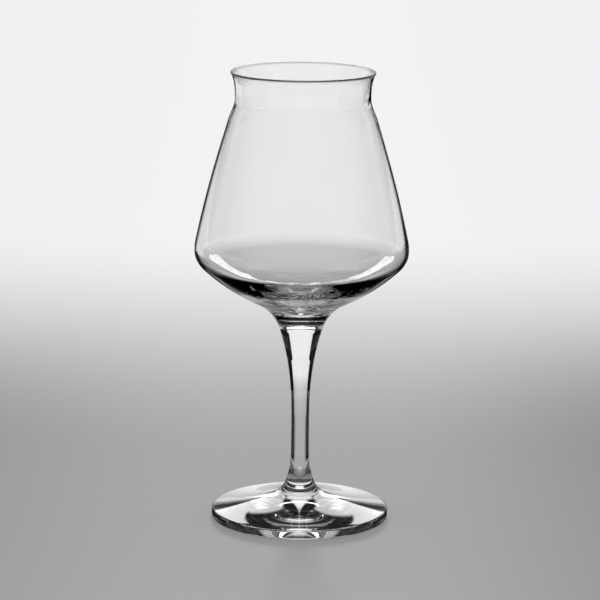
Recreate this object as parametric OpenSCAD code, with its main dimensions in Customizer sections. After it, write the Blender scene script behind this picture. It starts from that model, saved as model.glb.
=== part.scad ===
// Tulip beer glass on a stem: a blown bowl, a drawn stem and a pressed foot, fused end to end.
// Millimetres, +Z up, with the origin in the middle of the ring that the glass stands on.

/* [Bowl] */
// Height of the bowl, from its seam with the stem up to the rim
bowl_h = 115; // [105:0.5:130]
// Diameter of the rim
rim_d = 63.3; // [60:0.1:72]
// Outward lean of the flared lip, in degrees from upright
lip_deg = 25.4; // [10:0.1:35]
// Diameter of the neck, the narrowest place below the rim
neck_d = 59.4; // [52:0.1:60]
// Drop from the rim to the neck
neck_drop = 11.7; // [9:0.1:14]
// Diameter at the top of the tapering wall
taper_top_d = 65.6; // [61:0.1:72]
// Drop from the rim to the top of the tapering wall
taper_drop = 21.7; // [18:0.1:28]
// Inward lean at the top of the tapering wall, in degrees from upright
taper_top_deg = 17; // [12:0.5:22]
// Inward lean at the bottom of the tapering wall, in degrees from upright
taper_low_deg = 12; // [8:0.5:15]
// Rise from the belly to the bottom of the tapering wall
taper_rise = 7; // [5:0.1:10]
// Inset of the bottom of the tapering wall from the belly
taper_inset = 0.95; // [0.5:0.05:1.5]
// Diameter of the belly, the widest place
belly_d = 94.4; // [88:0.1:104]
// Height of the belly above the bowl's seam with the stem
belly_h = 35.9; // [32:0.1:42]
// Drop from the belly to the end of its rounded shoulder
shoulder_drop = 7.7; // [6:0.1:10]
// Inset of the end of the rounded shoulder from the belly
shoulder_inset = 3.8; // [3:0.1:5]
// Slope of the underside at the shoulder, in degrees from level
shoulder_deg = 42.6; // [36:0.1:48]
// Slope of the underside where its web to the stem starts, in degrees from level
web_deg = 26.4; // [20:0.1:32]
// Rise of the web, the hollow curve between the stem and the underside
web_rise = 12.5; // [10:0.1:15]
// Reach of the web out from the edge of the stem's seam
web_reach = 10.7; // [8:0.1:13]

/* [Glass thickness] */
// Thickness of the wall at the rim
lip_t = 1.1; // [0.8:0.05:1.6]
// Thickness of the wall at the belly
wall_t = 1.5; // [1.1:0.05:2.2]
// Thickness of the bowl's solid base, from its seam with the stem to the floor inside
base_t = 12.5; // [11:0.1:16]
// Drop from the belly to the heel, where the floor inside starts to flatten
heel_drop = 6.6; // [5.5:0.1:8]
// Inset of the heel from the inside of the belly
heel_inset = 3.5; // [3:0.1:5]
// Slope of the floor inside at the heel, in degrees from level
heel_deg = 37; // [33:0.5:40]

/* [Stem] */
// Length of the stem between its two seams
stem_len = 67; // [50:0.5:90]
// Diameter of the stem's straight shaft
stem_d = 8.05; // [7:0.05:9.5]
// Rise from the foot's seam to the straight shaft
shaft_rise = 15.5; // [12:0.1:18]
// Length of the straight shaft
shaft_len = 12; // [8:0.5:24]
// Diameter of the seam between the stem and the bowl
stem_top_d = 18.6; // [16:0.1:21]
// Outward lean of the stem at its seam with the bowl, in degrees from upright
stem_top_deg = 16.7; // [12:0.1:22]

/* [Foot] */
// Diameter of the foot
foot_d = 78.5; // [70:0.5:90]
// Thickness of the foot at its edge
edge_t = 4.3; // [3.4:0.1:5.2]
// Rounding of the foot's edge
edge_r = 0.8; // [0.4:0.05:1.2]
// Slope of the foot's top at its edge, in degrees from level
edge_deg = 7; // [4:0.5:10]
// Height of the hub in the middle of the foot, up to its seam with the stem
hub_h = 18; // [15:0.1:22]
// Diameter of the seam between the hub and the stem
hub_d = 11.2; // [10:0.1:13]
// Inward lean of the hub at its seam with the stem, in degrees from upright
hub_deg = 17; // [12:0.5:22]
// Height of the knee, where the hub turns into the foot's plate
knee_h = 10.9; // [9.5:0.1:12]
// Diameter of the knee
knee_d = 21.4; // [19:0.1:24]
// Slope of the knee, in degrees from level
knee_deg = 19.5; // [15:0.5:24]
// Height of the hollow under the foot
kick_h = 0.5; // [0.3:0.1:1.5]
// Width of the flat ring that the glass stands on
rest_w = 3; // [2:0.1:5]

/* [Hidden] */
$fn = 128;
// Straight pieces in each curve of an outline
curve_steps = 8;
// Length of a curve's handles, as a share of the distance between its ends
handle_share = 0.36;
upright = 90;
level = 180;
glass = [0.86, 0.88, 0.9, 0.35];

// Heights of the two seams above the table
stem_z = hub_h;
bowl_z = hub_h + stem_len;

// Unit vector that points along an angle
function heading(deg) = [cos(deg), sin(deg)];

// An outline is a list of stations [radius, height, direction of travel in degrees]
function place(s) = [s[0], s[1]];

// Points of a smooth curve from one station to the next, without the last point
function curve(from, to) =
    let (reach = handle_share * norm(place(to) - place(from)))
    let (a = place(from))
    let (b = place(from) + reach * heading(from[2]))
    let (c = place(to) - reach * heading(to[2]))
    let (d = place(to))
    [for (i = [0 : curve_steps - 1])
        let (t = i / curve_steps)
        let (s = 1 - t)
        s * s * s * a + 3 * s * s * t * b + 3 * s * t * t * c + t * t * t * d];

// Points of the smooth outline through all the stations
function outline(stations) = [
    for (i = [0 : len(stations) - 2]) each curve(stations[i], stations[i + 1]),
    place(stations[len(stations) - 1])
];

// Points of an arc
function arc(center, r, from_deg, to_deg) = [
    for (i = [0 : curve_steps])
        center + r * heading(from_deg + (to_deg - from_deg) * i / curve_steps)
];

function reversed(points) = [for (i = [len(points) - 1 : -1 : 0]) points[i]];

// The station on the inside of the wall that lies opposite one on the outside
function across(s, t) =
    let (p = place(s) + t * heading(s[2] + upright))
    [p[0], p[1], s[2]];

// Thickness of the wall at a height in the bowl: it thins evenly from the belly to the rim
function wall_at(h) = wall_t + (lip_t - wall_t) * (h - belly_h) / (bowl_h - belly_h);

// Stations up the outside of the bowl, from the stem's seam to the start of the rounded lip
seam_station = [stem_top_d / 2, 0, upright - stem_top_deg];
web_station = [stem_top_d / 2 + web_reach, web_rise, web_deg];
shoulder_station = [belly_d / 2 - shoulder_inset, belly_h - shoulder_drop, shoulder_deg];
belly_station = [belly_d / 2, belly_h, upright];
taper_low_station = [belly_d / 2 - taper_inset, belly_h + taper_rise, upright + taper_low_deg];
taper_top_station = [taper_top_d / 2, bowl_h - taper_drop, upright + taper_top_deg];
neck_station = [neck_d / 2, bowl_h - neck_drop, upright];
lip_center = [rim_d / 2 - lip_t / 2, bowl_h - lip_t / 2];
lip_start = lip_center + lip_t / 2 * heading(-lip_deg);
lip_station = [lip_start[0], lip_start[1], upright - lip_deg];

// Stations up the inside of the bowl, from the middle of its floor
floor_station = [0, base_t, 0];
heel_station = [belly_d / 2 - wall_t - heel_inset, belly_h - heel_drop, heel_deg];
inner_wall = [
    for (s = [belly_station, taper_low_station, taper_top_station, neck_station, lip_station])
        across(s, wall_at(min(s[1], bowl_h)))
];

module bowl_outline() {
    outside = outline([
        seam_station, web_station, shoulder_station, belly_station,
        taper_low_station, taper_top_station, neck_station, lip_station
    ]);
    lip = arc(lip_center, lip_t / 2, -lip_deg, level - lip_deg);
    inside = outline(concat([floor_station, heel_station], inner_wall));
    polygon(concat([[0, 0]], outside, lip, reversed(inside)));
}

module stem_outline() {
    shaft_top = shaft_rise + shaft_len;
    side = outline([
        [hub_d / 2, 0, upright + hub_deg],
        [stem_d / 2, shaft_rise, upright],
        [stem_d / 2, shaft_top, upright],
        [stem_top_d / 2, stem_len, upright - stem_top_deg]
    ]);
    polygon(concat([[0, 0]], side, [[0, stem_len]]));
}

module foot_outline() {
    edge_x = foot_d / 2 - edge_r;
    rest_x = edge_x - rest_w;
    // The hollow leaves the ring as a shallow dome does
    kick_deg = atan2(2 * kick_h, rest_x);
    hollow = outline([[0, kick_h, 0], [rest_x, 0, -kick_deg]]);
    low_edge = arc([edge_x, edge_r], edge_r, -upright, 0);
    top_edge = arc([edge_x, edge_t - edge_r], edge_r, 0, upright - edge_deg);
    top_start = top_edge[curve_steps];
    top = outline([
        [top_start[0], top_start[1], level - edge_deg],
        [knee_d / 2, knee_h, level - knee_deg],
        [hub_d / 2, hub_h, upright + hub_deg]
    ]);
    polygon(concat(hollow, low_edge, top_edge, top, [[0, hub_h]]));
}

module bowl() {
    color(glass) translate([0, 0, bowl_z]) rotate_extrude() bowl_outline();
}

module stem() {
    color(glass) translate([0, 0, stem_z]) rotate_extrude() stem_outline();
}

module foot() {
    color(glass) rotate_extrude() foot_outline();
}

bowl();
stem();
foot();
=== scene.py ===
from functools import reduce
from math import cos, pi, radians, sin

import bmesh
import bpy
from mathutils import Matrix, Vector
from mathutils.geometry import interpolate_bezier


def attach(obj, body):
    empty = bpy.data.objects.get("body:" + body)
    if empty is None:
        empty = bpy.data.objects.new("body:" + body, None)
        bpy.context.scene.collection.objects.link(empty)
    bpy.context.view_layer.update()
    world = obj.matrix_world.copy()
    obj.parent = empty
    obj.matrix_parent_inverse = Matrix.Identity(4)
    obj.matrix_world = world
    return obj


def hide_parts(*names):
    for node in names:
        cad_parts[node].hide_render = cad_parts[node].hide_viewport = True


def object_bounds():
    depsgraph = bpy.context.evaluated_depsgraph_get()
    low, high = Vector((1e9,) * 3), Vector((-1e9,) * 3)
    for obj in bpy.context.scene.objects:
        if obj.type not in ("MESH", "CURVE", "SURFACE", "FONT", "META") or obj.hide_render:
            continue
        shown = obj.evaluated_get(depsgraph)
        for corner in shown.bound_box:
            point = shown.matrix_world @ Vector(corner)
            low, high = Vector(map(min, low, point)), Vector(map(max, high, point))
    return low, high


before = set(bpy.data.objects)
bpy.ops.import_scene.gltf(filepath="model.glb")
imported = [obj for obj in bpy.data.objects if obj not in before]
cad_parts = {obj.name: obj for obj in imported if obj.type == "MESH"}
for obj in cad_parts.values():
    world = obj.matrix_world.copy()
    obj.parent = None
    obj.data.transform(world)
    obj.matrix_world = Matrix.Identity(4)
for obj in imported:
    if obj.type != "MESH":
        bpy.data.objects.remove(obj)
cad_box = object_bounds()

# The glass stands this many millimetres tall, and MM is one of them in the frame
GLASS_H = 200
MM = (cad_box[1].z - cad_box[0].z) / GLASS_H

# Directions of travel along an outline, in degrees
UPRIGHT = 90
LEVEL = 180

# Smoothness of the turned pieces
CURVE_STEPS = 20
ROUND_STEPS = 192
HANDLE_SHARE = 0.36

# A fused face is this flat, and points this near in millimetres are one
FLAT = 0.999
TOUCH = 0.001


def mm(*sizes):
    """Sizes given in millimetres, in the frame's units."""
    return [size * MM for size in sizes]


def heading(deg):
    """Unit vector along an angle in the outline's plane."""
    return Vector((cos(radians(deg)), sin(radians(deg))))


def curve(start, end):
    """Points of a smooth curve between two stations (radius, height, direction), without the last."""
    a, b = Vector(start[:2]), Vector(end[:2])
    reach = HANDLE_SHARE * (b - a).length
    handles = a + reach * heading(start[2]), b - reach * heading(end[2])
    return list(interpolate_bezier(a, *handles, b, CURVE_STEPS + 1))[:-1]


def outline(stations):
    """Points of the smooth outline through all the stations."""
    points = []
    for start, end in zip(stations, stations[1:]):
        points += curve(start, end)
    return points + [Vector(stations[-1][:2])]


def arc(center, radius, first, last):
    """Points of an arc between two angles."""
    step = (last - first) / CURVE_STEPS
    return [Vector(center) + radius * heading(first + i * step) for i in range(CURVE_STEPS + 1)]


def across(station, thickness):
    """The station on the inside of a wall, opposite one on its outside."""
    inside = Vector(station[:2]) + thickness * heading(station[2] + UPRIGHT)
    return (*inside, station[2])


# The foot, in millimetres above the table
FOOT_D = 78.5
EDGE_T = 4.3
EDGE_R = 0.8
EDGE_DEG = 7
HUB_H = 18
HUB_D = 11.2
HUB_DEG = 17
KNEE_H = 10.9
KNEE_D = 21.4
KNEE_DEG = 19.5
KICK_H = 0.5
KICK_DEG = 1.6
REST_W = 3


def foot_outline():
    edge_x = FOOT_D / 2 - EDGE_R
    hollow = outline([(0, KICK_H, 0), (edge_x - REST_W, 0, -KICK_DEG)])
    low_edge = arc((edge_x, EDGE_R), EDGE_R, -UPRIGHT, 0)
    top_edge = arc((edge_x, EDGE_T - EDGE_R), EDGE_R, 0, UPRIGHT - EDGE_DEG)
    top = outline([
        (*top_edge[-1], LEVEL - EDGE_DEG),
        (KNEE_D / 2, KNEE_H, LEVEL - KNEE_DEG),
        (HUB_D / 2, HUB_H, UPRIGHT + HUB_DEG),
    ])
    return hollow + low_edge + top_edge + top + [Vector((0, HUB_H))]


# The stem, in millimetres above the table
STEM_LEN = 67
STEM_D = 8.05
SHAFT_RISE = 15.5
SHAFT_LEN = 12
STEM_TOP_D = 18.6
STEM_TOP_DEG = 16.7
BOWL_Z = HUB_H + STEM_LEN


def stem_outline():
    shaft_z = HUB_H + SHAFT_RISE
    side = outline([
        (HUB_D / 2, HUB_H, UPRIGHT + HUB_DEG),
        (STEM_D / 2, shaft_z, UPRIGHT),
        (STEM_D / 2, shaft_z + SHAFT_LEN, UPRIGHT),
        (STEM_TOP_D / 2, BOWL_Z, UPRIGHT - STEM_TOP_DEG),
    ])
    return [Vector((0, HUB_H))] + side + [Vector((0, BOWL_Z))]


# The bowl, in millimetres
RIM_D = 63.3
LIP_DEG = 25.4
NECK_D = 59.4
NECK_DROP = 11.7
TAPER_TOP_D = 65.6
TAPER_DROP = 21.7
TAPER_TOP_DEG = 17
TAPER_LOW_DEG = 12
TAPER_RISE = 7
TAPER_INSET = 0.95
BELLY_D = 94.4
BELLY_H = 35.9
SHOULDER_DROP = 7.7
SHOULDER_INSET = 3.8
SHOULDER_DEG = 42.6
WEB_DEG = 26.4
WEB_RISE = 12.5
WEB_REACH = 10.7
LIP_T = 1.1
WALL_T = 1.5
BASE_T = 12.5
HEEL_DROP = 6.6
HEEL_INSET = 3.5
HEEL_DEG = 37
BELLY_Z = BOWL_Z + BELLY_H


def wall_at(height):
    """Thickness of the wall, which thins evenly from the belly to the rim."""
    return WALL_T + (LIP_T - WALL_T) * (height - BELLY_Z) / (GLASS_H - BELLY_Z)


def bowl_outline():
    lip_center = Vector((RIM_D / 2 - LIP_T / 2, GLASS_H - LIP_T / 2))
    lip = arc(lip_center, LIP_T / 2, -LIP_DEG, LEVEL - LIP_DEG)
    wall = [
        (BELLY_D / 2, BELLY_Z, UPRIGHT),
        (BELLY_D / 2 - TAPER_INSET, BELLY_Z + TAPER_RISE, UPRIGHT + TAPER_LOW_DEG),
        (TAPER_TOP_D / 2, GLASS_H - TAPER_DROP, UPRIGHT + TAPER_TOP_DEG),
        (NECK_D / 2, GLASS_H - NECK_DROP, UPRIGHT),
        (*lip[0], UPRIGHT - LIP_DEG),
    ]
    outside = outline([
        (STEM_TOP_D / 2, BOWL_Z, UPRIGHT - STEM_TOP_DEG),
        (STEM_TOP_D / 2 + WEB_REACH, BOWL_Z + WEB_RISE, WEB_DEG),
        (BELLY_D / 2 - SHOULDER_INSET, BELLY_Z - SHOULDER_DROP, SHOULDER_DEG),
        *wall,
    ])
    inside = outline([
        (0, BOWL_Z + BASE_T, 0),
        (BELLY_D / 2 - WALL_T - HEEL_INSET, BELLY_Z - HEEL_DROP, HEEL_DEG),
        *[across(station, wall_at(station[1])) for station in wall],
    ])
    return [Vector((0, BOWL_Z))] + outside + lip + inside[::-1]


def turned(name, points, seams, glass, joint):
    """Turns an outline into a closed piece of glass, whose flat fused ends let light run straight on."""
    bm = bmesh.new()
    ring = [bm.verts.new((p.x * MM, 0, p.y * MM)) for p in points]
    chain = [bm.edges.new(pair) for pair in zip(ring, ring[1:])]
    bmesh.ops.spin(
        bm, geom=ring + chain, cent=(0, 0, 0), axis=(0, 0, 1), angle=2 * pi,
        steps=ROUND_STEPS, use_merge=True, use_duplicate=False,
    )
    bmesh.ops.remove_doubles(bm, verts=bm.verts, dist=TOUCH * MM)
    bmesh.ops.recalc_face_normals(bm, faces=bm.faces)
    for face in bm.faces:
        height = face.calc_center_median().z / MM
        face.smooth = True
        if abs(face.normal.z) > FLAT and any(abs(height - seam) < TOUCH for seam in seams):
            face.material_index = 1
    for edge in bm.edges:
        edge.smooth = len({face.material_index for face in edge.link_faces}) == 1
    mesh = bpy.data.meshes.new(name)
    bm.to_mesh(mesh)
    bm.free()
    mesh.materials.append(glass)
    mesh.materials.append(joint)
    piece = bpy.data.objects.new(name, mesh)
    bpy.context.collection.objects.link(piece)
    return piece


class Nodes:
    """Short calls for building one node tree."""

    def __init__(self, owner):
        owner.use_nodes = True
        self.tree = owner.node_tree
        self.tree.nodes.clear()

    def add(self, kind, inputs=(), **settings):
        node = self.tree.nodes.new(kind)
        for key, value in settings.items():
            setattr(node, key, value)
        for key, value in dict(inputs).items():
            if isinstance(value, bpy.types.NodeSocket):
                self.tree.links.new(value, node.inputs[key])
            else:
                node.inputs[key].default_value = value
        return node

    def math(self, operation, *values):
        return self.add("ShaderNodeMath", enumerate(values), operation=operation).outputs[0]

    def plus(self, *values):
        return reduce(lambda a, b: self.math("ADD", a, b), values)

    def minus(self, value, less):
        return self.math("SUBTRACT", value, less)

    def times(self, *values):
        return reduce(lambda a, b: self.math("MULTIPLY", a, b), values)

    def most(self, *values):
        return reduce(lambda a, b: self.math("MAXIMUM", a, b), values)

    def without(self, value):
        """What is left of 1."""
        return self.minus(1, value)

    def ramp(self, value, low, high):
        """0 below low, 1 above high, and a soft step between."""
        inputs = {"Value": value, "From Min": low, "From Max": high}
        return self.add("ShaderNodeMapRange", inputs, interpolation_type="SMOOTHSTEP").outputs[0]

    def fade(self, value, low, high):
        """1 below low, 0 above high, and a soft step between."""
        return self.without(self.ramp(value, low, high))

    def between(self, value, low, high, soft):
        """1 from low to high, with soft edges."""
        rise = self.ramp(value, low - soft, low + soft)
        fall = self.ramp(value, high - soft, high + soft)
        return self.minus(rise, fall)

    def mix(self, factor, first, second):
        inputs = {0: factor, 6: first, 7: second}
        return self.add("ShaderNodeMix", inputs, data_type="RGBA").outputs[2]

    def axes(self, vector):
        return self.add("ShaderNodeSeparateXYZ", {0: vector}).outputs

    def radius(self, position):
        """Distance from the upright axis of the glass."""
        flat = self.add("ShaderNodeVectorMath", {0: position, 1: (1, 1, 0)}, operation="MULTIPLY")
        return self.add("ShaderNodeVectorMath", {0: flat.outputs[0]}, operation="LENGTH").outputs[1]

    def object_position(self):
        return self.add("ShaderNodeTexCoord").outputs["Object"]

    def noise(self, position, scale, distortion):
        inputs = {"Vector": position, "Scale": scale, "Detail": 1, "Distortion": distortion}
        return self.add("ShaderNodeTexNoise", inputs).outputs[0]

    def bump(self, height, distance, **normal):
        return self.add("ShaderNodeBump", {"Height": height, "Distance": distance, **normal}).outputs[0]

    def finish(self, shader, kind="ShaderNodeOutputMaterial"):
        self.add(kind, {"Surface": shader.outputs[0]})


# Finish of the glass, with heights and places in millimetres
GLASS_TINT = (0.99, 0.995, 0.995, 1)
GLASS_IOR = 1.52
WAVE_SCALE = 30
WAVE_TWIST = 0.4
WAVE_H = 0.03
SWIRL_SCALE = 40
SWIRL_TWIST = 2.2
SWIRL_H = 0.8
SWIRL_SPREAD = (22, 32)
# The middle of the solid base lies this far above its seam, and rises by this share of the radius squared
BASE_MIDDLE = 9.5
BASE_BOW = 0.0115
BASE_SOFT = 0.5
# The ground top of the lip is less polished, from the first of these drops to the second
LIP_GROUND = (1.6, 0.9)
LIP_ROUGHNESS = 0.35
# The drawn and pressed pieces are a little less polished than the blown bowl, more so on their waves
WAVES_POLISHED = 0.45
WAVES_DULL = 0.75
POLISHED = 0.006
DULL = 0.03


def wavy(nodes, position):
    """Faint waves in the glass, and the bump that they make."""
    waves = nodes.noise(position, WAVE_SCALE, WAVE_TWIST)
    return waves, nodes.bump(waves, WAVE_H * MM)


def clear(nodes, roughness, normal):
    """Clear colourless glass."""
    nodes.finish(nodes.add("ShaderNodeBsdfPrincipled", {
        "Base Color": GLASS_TINT,
        "Roughness": roughness,
        "IOR": GLASS_IOR,
        "Transmission Weight": 1,
        "Normal": normal,
    }))


def blown_glass(name):
    """Polished glass of the bowl, with swirls on the floor inside it and a ground lip."""
    material = bpy.data.materials.new(name)
    nodes = Nodes(material)
    position = nodes.object_position()
    height = nodes.axes(position)[2]
    radius = nodes.radius(position)
    _, normal = wavy(nodes, position)
    middle = nodes.times(radius, radius, BASE_BOW / MM)
    above = nodes.minus(nodes.minus(height, middle), (BOWL_Z + BASE_MIDDLE) * MM)
    inside = nodes.times(
        nodes.ramp(above, *mm(-BASE_SOFT, BASE_SOFT)),
        nodes.fade(radius, *mm(*SWIRL_SPREAD)),
    )
    swirls = nodes.times(nodes.noise(position, SWIRL_SCALE, SWIRL_TWIST), inside)
    normal = nodes.bump(swirls, SWIRL_H * MM, Normal=normal)
    ground = nodes.ramp(height, *mm(*[GLASS_H - drop for drop in LIP_GROUND]))
    clear(nodes, nodes.times(ground, LIP_ROUGHNESS), normal)
    return material


def drawn_glass(name):
    """Glass of the stem and the foot, less polished here and there."""
    material = bpy.data.materials.new(name)
    nodes = Nodes(material)
    waves, normal = wavy(nodes, nodes.object_position())
    polish = nodes.add("ShaderNodeMapRange", {
        "Value": waves,
        "From Min": WAVES_POLISHED,
        "From Max": WAVES_DULL,
        "To Min": POLISHED,
        "To Max": DULL,
    })
    clear(nodes, polish.outputs[0], normal)
    return material


def fused_joint():
    """Where two pieces are fused, the glass runs on, so their touching faces bend nothing."""
    material = bpy.data.materials.new("fused_joint")
    nodes = Nodes(material)
    nodes.finish(nodes.add("ShaderNodeBsdfTransparent"))
    return material


joint = fused_joint()
for name, points, seams, glass in (
    ("bowl", bowl_outline(), [BOWL_Z], blown_glass),
    ("stem", stem_outline(), [HUB_H, BOWL_Z], drawn_glass),
    ("foot", foot_outline(), [HUB_H], drawn_glass),
):
    piece = turned("glass_" + name, points, seams, glass(name + "_glass"), joint)
    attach(piece, "root")
    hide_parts(name)


def grey(level):
    return (level, level, level, 1)


# Paper sweep, in metres: grey near the glass and white further back, as painted light falling from behind
PAPER_NEAR = (0.403, 0.403, 0.412, 1)
PAPER_FAR = (0.893, 0.893, 0.908, 1)
PAINTED_LIT_PAPER = (0.9, 0.9, 0.91, 1)
PAPER_GREY_Y = 0.09
PAPER_WHITE_Y = 0.65
PAPER_BOW = 0.6
PAPER_ROUND = 0.15
PAPER_GLOW = 0.5
# In what the hollow bowl shows, the painted grey reaches this much further back
HOLLOW_SHIFT = 0.09
# The paper darkens a little to both sides, and more so on the right, as painted shade
SIDE_X = (0.04, 0.2)
SIDE_Y = (0.1, 0.45)
SIDE_NEAR = 0.18
SIDE_FAR = 0.02
RIGHT_X = (0.03, 0.17)
RIGHT_NEAR = 0.08

# Level of the soft light from all round
SOFT_LIGHT = 0.54

# Depth of light straight through solid glass, as the paper reads it; the world reads one more
STRAIGHT = 2
DEPTH_SLACK = 0.1

# Light that turned this often inside the glass is painted mostly dark, as painted shade
PAINTED_LOSS_TURNS = (4, 9)
PAINTED_LOSS_SHARE = 0.9

# Painted dark cards at both sides, painted shade that only the glass shows, from one bearing behind the glass
# to another, in degrees
PAINTED_CARD = grey(0.004)
CARD_START = 32
CARD_END = 78


def paper(nodes, position, shift):
    """Colour of the paper sweep, with its light and shade painted in."""
    x, y, _ = nodes.axes(position)
    bow = nodes.times(x, x, PAPER_BOW)
    depth = nodes.most(nodes.minus(y, bow), nodes.minus(nodes.radius(position), PAPER_ROUND))
    depth = nodes.minus(depth, shift)
    sweep = nodes.mix(nodes.ramp(depth, PAPER_GREY_Y, PAPER_WHITE_Y), PAPER_NEAR, PAPER_FAR)
    near = nodes.fade(depth, *SIDE_Y)
    aside = nodes.ramp(nodes.math("ABSOLUTE", x), *SIDE_X)
    dim = nodes.times(aside, nodes.plus(nodes.times(near, SIDE_NEAR), SIDE_FAR))
    shade = nodes.times(nodes.ramp(x, *RIGHT_X), near, RIGHT_NEAR)
    return nodes.mix(nodes.plus(dim, shade), sweep, grey(0))


class Shown:
    """A place or a direction that the glass shows, and the way that its light took."""

    def __init__(self, nodes, vector, straight_depth):
        light = nodes.add("ShaderNodeLightPath").outputs
        self.light = light
        self.x, self.y, self.z = nodes.axes(vector)
        self.aside = nodes.math("ABSOLUTE", self.x)
        # Degrees from straight behind the glass, and 1 on its right-hand side
        self.turn = nodes.math("DEGREES", nodes.math("ARCTAN2", self.aside, self.y))
        self.right = nodes.math("GREATER_THAN", self.x, 0)
        # 1 for light off the outside, through the hollow bowl, through solid glass, or turned by the glass
        self.outside = nodes.math("LESS_THAN", light["Transmission Depth"], 1)
        self.hollow = nodes.math("GREATER_THAN", light["Transmission Depth"], STRAIGHT)
        self.solid = nodes.without(self.hollow)
        longer = nodes.math("GREATER_THAN", light["Ray Depth"], straight_depth)
        self.edge = nodes.most(self.outside, nodes.times(longer, self.solid))
        self.turned_inside = nodes.minus(self.edge, self.outside)
        # Share of painted shade for light that turned often inside the glass
        self.painted_loss = nodes.times(nodes.ramp(light["Ray Depth"], *PAINTED_LOSS_TURNS), PAINTED_LOSS_SHARE)
        # 1 for all that the glass shows
        self.by_glass = nodes.most(light["Is Glossy Ray"], light["Is Transmission Ray"])


# Painted light and shade on the paper under the foot, with bearings in degrees and places in millimetres
LIT_BACK_TURN = (30, 80)
LIT_BACK_Y = (2, 22)
NOTCH_IN_X = (15, 25)
NOTCH_OUT_X = (36, 41)
NOTCH_Y = (-3, 8, 4)
NOTCH = grey(0.02)
BACK_EDGE_Y = (20, 38)
BACK_EDGE_SHARE = 0.5
STREAK_TURN = (1, 9)
STREAK_Y = (22, 35.5, 2)
STREAK_SHARE = 0.8
RING_TURN = (5, 17, 2)
RING_R = (19, 26, 1.5)
RING_SHARE = 0.9
FLANK_TURN = (28, 50)
FLANK_SHARE = 0.2
DARK_INSIDE = grey(0.05)
FOOT_REACH = (41, 45)


def under_foot(nodes, shown, radius, straight, colour):
    """Painted light and shade on the paper under the foot: painted light at the back and painted shade at the
    sides, or mostly painted shade in turned light.
    """
    # Light straight through the glass sees painted light at the back and a painted dark notch of shade at
    # each side
    lit_back = nodes.times(nodes.fade(shown.turn, *LIT_BACK_TURN), nodes.ramp(shown.y, *mm(*LIT_BACK_Y)))
    notch = nodes.minus(nodes.ramp(shown.aside, *mm(*NOTCH_IN_X)), nodes.ramp(shown.aside, *mm(*NOTCH_OUT_X)))
    notch = nodes.times(notch, nodes.between(shown.y, *mm(*NOTCH_Y)))
    seen = nodes.mix(notch, nodes.mix(lit_back, colour, PAINTED_LIT_PAPER), NOTCH)

    # Turned light sees painted shade, with painted light at the back edge and in a streak, a ring and the
    # flanks
    back_edge = nodes.times(nodes.ramp(shown.y, *mm(*BACK_EDGE_Y)), BACK_EDGE_SHARE, shown.hollow)
    streak = nodes.times(
        nodes.fade(shown.turn, *STREAK_TURN), STREAK_SHARE, nodes.between(shown.y, *mm(*STREAK_Y)),
    )
    ring = nodes.times(
        nodes.between(shown.turn, *RING_TURN), nodes.between(radius, *mm(*RING_R)), RING_SHARE,
    )
    flank = nodes.times(nodes.ramp(shown.turn, *FLANK_TURN), FLANK_SHARE)
    bright = nodes.times(nodes.most(streak, ring, flank), shown.solid)
    inside = nodes.mix(nodes.most(back_edge, bright), DARK_INSIDE, PAINTED_LIT_PAPER)
    return nodes.mix(straight, inside, seen)


# Painted light and shade on the paper just behind the foot, in light that has turned inside the glass
REAR_TURN = (3, 5)
REAR_DARK = grey(0.03)
REAR_START = (41, 44)
REAR_END = (90, 110)
REAR_SIDES = (40, 60)


def behind_foot(nodes, shown, radius):
    """Share and colour of the paper just behind the foot: painted light in the middle and painted shade at
    both sides.
    """
    share = nodes.minus(nodes.ramp(radius, *mm(*REAR_START)), nodes.ramp(radius, *mm(*REAR_END)))
    share = nodes.times(share, nodes.fade(shown.turn, *REAR_SIDES), shown.turned_inside)
    return share, nodes.mix(nodes.ramp(shown.turn, *REAR_TURN), grey(1), REAR_DARK)


# Painted dark cards on the paper, with bearings in degrees and places in metres
CARD_NEAR = (0.16, 0.2)
CARD_NEAR_LEAD = 5
CARD_NEAR_SOFT = 8
CARD_SOFT = 1.5
CARD_END_SOFT = 4
CARD_FROM = (0.05, 0.07)
LINE_START = (9, 13)
LINE_END = (22, 30)
LINE_FROM = (0.22, 0.28)
LINE_WIDE_R = (0.58, 0.7)
LINE_WIDE_TURN = 35
LINE_WIDE_RIGHT = 0.75
MIRRORED_TURN = (54, 120, 2)
HAZE_R = (0.9, 1.4)
HAZE_TURN = (20, 26)
HAZE_SHARE = 0.45
PAINTED_LOSS_GREY = grey(0.2)


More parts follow.
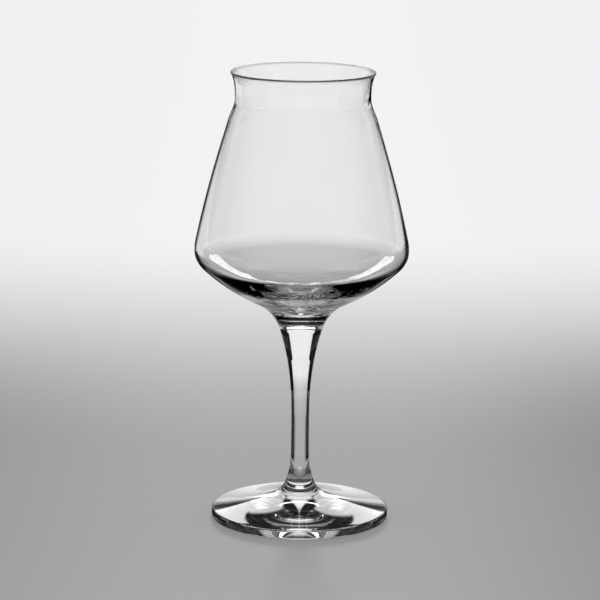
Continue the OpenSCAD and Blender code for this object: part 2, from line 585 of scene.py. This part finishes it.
def painted_side_cards(nodes, shown, radius, straight):
    """Share of painted dark card, a painted reflection as the stem bends it and as the outside and the edges
    of the glass mirror it.
    """
    near = nodes.fade(radius, *CARD_NEAR)
    soft = nodes.plus(nodes.times(near, CARD_NEAR_SOFT), CARD_SOFT)
    start = nodes.minus(CARD_START, nodes.times(near, CARD_NEAR_LEAD))
    past = nodes.math("DIVIDE", nodes.minus(shown.turn, start), soft)
    end = nodes.ramp(shown.turn, CARD_END - CARD_END_SOFT, CARD_END + CARD_END_SOFT)
    card = nodes.minus(nodes.ramp(past, -1, 1), end)

    # Only the drawn glass, whose polish spreads light a little, bends the painted cards into view
    drawn = nodes.without(shown.light["Is Singular Ray"])
    bent = nodes.times(straight, drawn, card)

    # Further off the edges mirror a painted line of card, which is wide close by and wide for longer on the
    # right
    reach = nodes.minus(radius, nodes.times(shown.right, LINE_WIDE_RIGHT))
    wide = nodes.times(nodes.fade(reach, *LINE_WIDE_R), LINE_WIDE_TURN)
    stop = nodes.ramp(nodes.minus(shown.turn, wide), *LINE_END)
    line = nodes.minus(nodes.ramp(shown.turn, *LINE_START), stop)
    line = nodes.times(nodes.minus(line, card), nodes.ramp(radius, *LINE_FROM))
    edged = nodes.times(nodes.plus(card, line), shown.edge)
    card = nodes.times(nodes.most(edged, bent), nodes.ramp(radius, *CARD_FROM))

    # The outside mirrors painted dark sides, and a painted haze of shade far back
    mirrored = nodes.times(nodes.between(shown.turn, *MIRRORED_TURN), shown.outside)
    haze = nodes.times(nodes.ramp(radius, *HAZE_R), nodes.ramp(shown.turn, *HAZE_TURN))
    haze = nodes.times(haze, shown.outside, HAZE_SHARE)
    return nodes.most(card, mirrored, haze)


def floor_material():
    """Paper for the camera; for the glass the paper with its painted dark cards, and with the painted light
    and shade under and behind the foot.
    """
    material = bpy.data.materials.new("paper_sweep")
    nodes = Nodes(material)
    position = nodes.object_position()
    shown = Shown(nodes, position, STRAIGHT)
    radius = nodes.radius(position)
    straight = nodes.math("COMPARE", shown.light["Ray Depth"], STRAIGHT, DEPTH_SLACK)
    colour = paper(nodes, position, nodes.times(shown.hollow, HOLLOW_SHIFT))
    under = under_foot(nodes, shown, radius, straight, colour)
    seen = nodes.mix(nodes.fade(radius, *mm(*FOOT_REACH)), colour, under)
    share, rear = behind_foot(nodes, shown, radius)
    seen = nodes.mix(share, seen, rear)
    seen = nodes.mix(painted_side_cards(nodes, shown, radius, straight), seen, PAINTED_CARD)
    # Light that turned often sees painted shade: card-dark close to the glass and grey further off
    loss_shade = nodes.mix(nodes.ramp(radius, *CARD_FROM), PAINTED_CARD, PAINTED_LOSS_GREY)
    seen = nodes.mix(shown.painted_loss, seen, loss_shade)

    lit = nodes.add("ShaderNodeBsdfDiffuse", {"Color": colour})
    glow = nodes.add("ShaderNodeEmission", {"Color": nodes.mix(shown.by_glass, colour, seen)})
    share = nodes.most(shown.by_glass, nodes.times(shown.light["Is Camera Ray"], PAPER_GLOW))
    nodes.finish(nodes.add("ShaderNodeMixShader", {0: share, 1: lit.outputs[0], 2: glow.outputs[0]}))
    return material


FLOOR_R = 9
FLOOR_STEPS = 96
FLOOR_DROP = 0.2


def floor():
    mesh = bpy.data.meshes.new("paper_sweep")
    bm = bmesh.new()
    bmesh.ops.create_circle(bm, cap_ends=True, segments=FLOOR_STEPS, radius=FLOOR_R)
    bmesh.ops.translate(bm, verts=bm.verts, vec=(0, 0, -FLOOR_DROP * MM))
    bm.to_mesh(mesh)
    bm.free()
    mesh.materials.append(floor_material())
    sweep = bpy.data.objects.new("paper_sweep", mesh)
    bpy.context.collection.objects.link(sweep)


# Backdrop behind the glass, and a painted softbox highlight that only the glass shows, with bearings and
# lifts in degrees
BACKDROP_TOP = 16
BACKDROP_SOFT = 0.7
BACKDROP_SIDE = 26
BACKDROP_SIDE_SOFT = 1.5
BACKDROP_SPREAD = 4
BACKDROP_SPREAD_LIFT = (7, 12)
BOX_LOW = 19.5
BOX_TOP = 28.5
BENT_BOX_TOP = 25.2
BOX_SOFT = 0.5
BOX_LEVEL = 4.6
BOX_LOSS_INSIDE = 2.7
HOLLOW_BOX = (18.5, 31, 0.5)
HOLLOW_BOX_LEVEL = 7.5
# Painted highlights of wings at both sides, above the softbox, as the foot mirrors them
WING_TURN = (8.5, 10.5)
WING_LIFT = (BOX_TOP, 46, 1)
WING_LEVEL = 5


def backdrop(nodes, shown, lift):
    """Level of the backdrop, and of the painted highlights of the softbox and its wings."""
    paper_level = nodes.fade(lift, BACKDROP_TOP - BACKDROP_SOFT, BACKDROP_TOP + BACKDROP_SOFT)
    paper_level = nodes.times(paper_level, PAPER_FAR[0])
    strength = nodes.minus(BOX_LEVEL, nodes.times(shown.turned_inside, BOX_LOSS_INSIDE))
    more = nodes.times(shown.outside, BOX_TOP - BENT_BOX_TOP)
    above = nodes.minus(nodes.minus(lift, more), BENT_BOX_TOP)
    box = nodes.minus(
        nodes.ramp(lift, BOX_LOW - BOX_SOFT, BOX_LOW + BOX_SOFT),
        nodes.ramp(above, -BOX_SOFT, BOX_SOFT),
    )
    box = nodes.times(box, shown.solid, strength)
    hollow_box = nodes.times(nodes.between(lift, *HOLLOW_BOX), shown.hollow, HOLLOW_BOX_LEVEL)
    wing = nodes.times(
        nodes.ramp(nodes.plus(shown.turn, shown.right), *WING_TURN),
        nodes.between(lift, *WING_LIFT), shown.outside, WING_LEVEL,
    )
    side = nodes.plus(nodes.times(nodes.ramp(lift, *BACKDROP_SPREAD_LIFT), BACKDROP_SPREAD), BACKDROP_SIDE)
    behind = nodes.fade(nodes.minus(shown.turn, side), -BACKDROP_SIDE_SOFT, BACKDROP_SIDE_SOFT)
    return nodes.times(nodes.plus(paper_level, box, hollow_box, wing), behind)


# What turned light shows of the backdrop: a painted dark strip of shade at each side, and a tall painted
# highlight in the middle
STRIP_TURN = (9.5, 24, 2)
STRIP_LIFT = (5, 16, 1.5)
STRIP_SHARE = 0.85
TALL_TURN = (4, 8)
TALL_LOW = (15, 17)
TALL_TOP = (38, 64)
TALL_LEVEL = 0.95


def strips(nodes, shown, lift, level):
    """The backdrop's level, with the painted strips of shade and highlight that turned light shows."""
    dark = nodes.times(
        nodes.between(shown.turn, *STRIP_TURN), nodes.between(lift, *STRIP_LIFT),
        shown.turned_inside, STRIP_SHARE,
    )
    tall = nodes.minus(nodes.fade(shown.turn, *TALL_TURN), nodes.ramp(lift, *TALL_TOP))
    tall = nodes.times(nodes.most(tall, 0), nodes.ramp(lift, *TALL_LOW), shown.turned_inside, TALL_LEVEL)
    return nodes.most(nodes.times(level, nodes.without(dark)), tall)


# Sides and front of the studio, with bearings and lifts in degrees
WALL_TURN = (CARD_END, 115, 6)
WALL_TOP = 3
WALL_TOP_STRAIGHT = 13
WALL_LEVEL = 0.85
HIGH_TURN = (CARD_END, 115, 8)
HIGH_LIFT = (14, 42, 6)
HIGH_LEVEL = 0.45
GAP_TURN = (50, 61, 2)
GAP_LIFT = (6, 19, 2)
GAP_LEVEL = 0.6
CHEEK_TURN = (36, 74, 8)
CHEEK_LIFT = (10, 18)
CHEEK_LEVEL = 0.75
FRONT_TURN = (100, 130)
FRONT_LIFT = (45, 65)
FRONT_LEVEL = 0.75
FRONT_LOSS_INSIDE = 0.72
FRONT_LOSS_HOLLOW = 0.3


def sides(nodes, shown, lift):
    """Level of the pale walls, of the painted highlights of lights beside the glass and of the front, painted
    darker in turned and hollow light.
    """
    wall_top = nodes.plus(nodes.times(nodes.without(shown.edge), WALL_TOP_STRAIGHT), WALL_TOP)
    wall = nodes.times(
        nodes.between(shown.turn, *WALL_TURN), nodes.math("LESS_THAN", lift, wall_top), WALL_LEVEL,
    )
    high = nodes.times(
        nodes.between(shown.turn, *HIGH_TURN), nodes.between(lift, *HIGH_LIFT), shown.outside, HIGH_LEVEL,
    )
    gap = nodes.times(
        nodes.between(shown.turn, *GAP_TURN), nodes.between(lift, *GAP_LIFT), shown.turned_inside, GAP_LEVEL,
    )
    cheek = nodes.times(
        nodes.between(shown.turn, *CHEEK_TURN), nodes.fade(lift, *CHEEK_LIFT), shown.outside, CHEEK_LEVEL,
    )
    front = nodes.times(nodes.ramp(shown.turn, *FRONT_TURN), nodes.fade(lift, *FRONT_LIFT))
    front_level = nodes.minus(FRONT_LEVEL, nodes.times(shown.turned_inside, FRONT_LOSS_INSIDE))
    front_level = nodes.minus(front_level, nodes.times(shown.hollow, FRONT_LOSS_HOLLOW))
    return nodes.plus(wall, high, gap, cheek, nodes.times(front, front_level))


# Low down, the hollow bowl shows plain paper, unless its light was mirrored more than once
PLAIN_LIFT = (8, 16)
PLAIN_MIRRORED = 1.5
DARKEST = 0.01


def studio():
    """Plain white for the camera and for soft light; a painted softbox highlight and painted dark cards in
    what the glass shows.
    """
    world = bpy.data.worlds.new("studio")
    nodes = Nodes(world)
    bpy.context.scene.world = world
    shown = Shown(nodes, nodes.add("ShaderNodeTexCoord").outputs["Generated"], STRAIGHT + 1)
    light = shown.light
    lift = nodes.math("DEGREES", nodes.math("ARCSINE", shown.z))
    level = strips(nodes, shown, lift, backdrop(nodes, shown, lift))
    level = nodes.plus(level, sides(nodes, shown, lift))
    mirrored = nodes.minus(light["Ray Depth"], light["Transmission Depth"])
    plain_low = nodes.times(
        shown.hollow, nodes.math("LESS_THAN", mirrored, PLAIN_MIRRORED),
        nodes.fade(lift, *PLAIN_LIFT), PAPER_FAR[0],
    )
    level = nodes.times(nodes.most(level, plain_low), nodes.without(shown.painted_loss))
    level = nodes.plus(level, DARKEST)

    plain = nodes.mix(light["Is Camera Ray"], grey(SOFT_LIGHT), PAPER_FAR)
    boxed = nodes.add("ShaderNodeCombineColor", {0: level, 1: level, 2: level}).outputs[0]
    sky = nodes.add("ShaderNodeBackground", {"Color": nodes.mix(shown.by_glass, plain, boxed)})
    nodes.finish(sky, "ShaderNodeOutputWorld")


# Lamp behind and above the glass, in degrees
LAMP_LIFT = 23
LAMP_SIZE = 16


def back_light():
    """A soft lamp behind and above, whose shadow falls towards the camera."""
    data = bpy.data.lights.new("back_light", "SUN")
    data.energy = (1 - SOFT_LIGHT) * pi / sin(radians(LAMP_LIFT))
    data.angle = radians(LAMP_SIZE)
    lamp = bpy.data.objects.new("back_light", data)
    lamp.rotation_euler = (radians(LAMP_LIFT - UPRIGHT), 0, 0)
    lamp.visible_glossy = False
    lamp.visible_transmission = False
    bpy.context.collection.objects.link(lamp)


# Camera, in metres and degrees, with its lens in millimetres
CAMERA_AT = (0, -1.182, 0.3566)
CAMERA_LENS = 164.5
CAMERA_TURN = 0.0275
CAMERA_DIP = 12.3215
CAMERA_ROLL = 0.5233
CAMERA_REACH = 30


def camera():
    data = bpy.data.cameras.new("camera")
    data.lens = CAMERA_LENS
    data.clip_end = CAMERA_REACH
    eye = bpy.data.objects.new("camera", data)
    eye.location = CAMERA_AT
    turn = Matrix.Rotation(radians(CAMERA_TURN), 4, "Z")
    tilt = Matrix.Rotation(radians(UPRIGHT - CAMERA_DIP), 4, "X")
    roll = Matrix.Rotation(radians(CAMERA_ROLL), 4, "Z")
    eye.rotation_euler = (turn @ tilt @ roll).to_euler()
    bpy.context.collection.objects.link(eye)
    bpy.context.scene.camera = eye


# Turns of light through the glass; fewer mirrored ones keep the thick base dark
BOUNCES = 32
MIRROR_BOUNCES = 16

floor()
studio()
back_light()
camera()
scene = bpy.context.scene
scene.view_settings.view_transform = "Standard"
scene.cycles.max_bounces = BOUNCES
scene.cycles.transmission_bounces = BOUNCES
scene.cycles.glossy_bounces = MIRROR_BOUNCES
scene.cycles.transparent_max_bounces = BOUNCES
